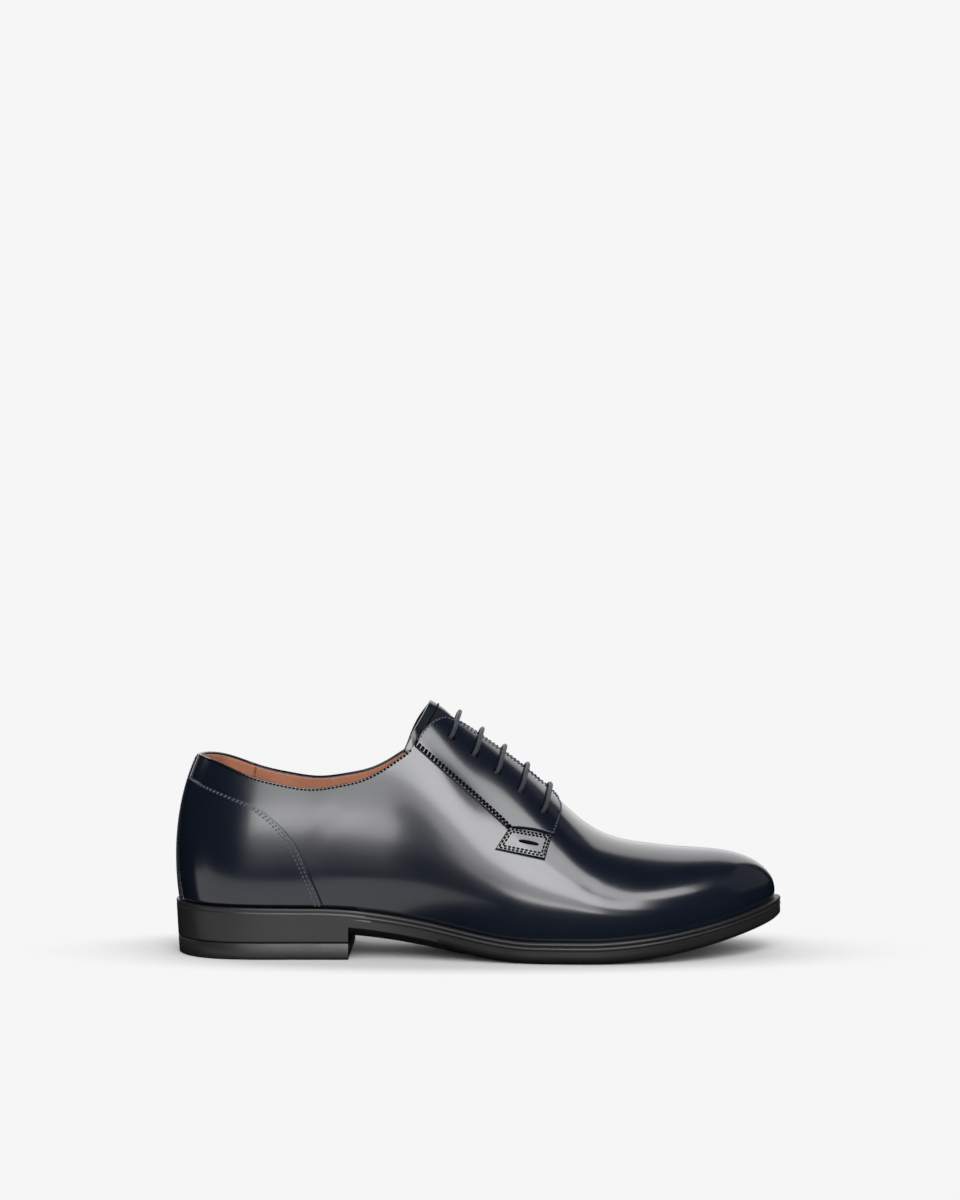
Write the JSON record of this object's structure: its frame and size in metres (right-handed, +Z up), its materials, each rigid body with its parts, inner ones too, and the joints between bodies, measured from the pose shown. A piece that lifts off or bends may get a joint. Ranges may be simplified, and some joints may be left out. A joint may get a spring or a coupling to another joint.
{
  "type": "derby shoe",
  "caption": "Men's derby dress shoe, right foot: hollow lasted leather upper with laced facings, tongue and heel counters on a moulded rubber sole with a low block heel.",
  "frame": {"origin": "on the floor, below the middle of the outsole's length and on the heel's centre line", "axes": "+X to the toe, +Y to the inner (medial) side, +Z up"},
  "size_m": [0.3022, 0.1001, 0.1247],
  "materials": {
    "leather": "polished dark navy, high shine",
    "rubber": "satin black",
    "lining": "matt tan",
    "cord": "waxed round cord"
  },
  "bodies": {
    "root": {"sole": "rubber", "top_lift": "rubber", "insole": "lining", "upper": "leather", "eyestay_lateral": "leather", "eyestay_medial": "leather", "counter_lateral": "leather", "counter_medial": "leather", "back_strip": "leather", "tongue": "leather", "lace": "cord"}
  },
  "joints": []
}
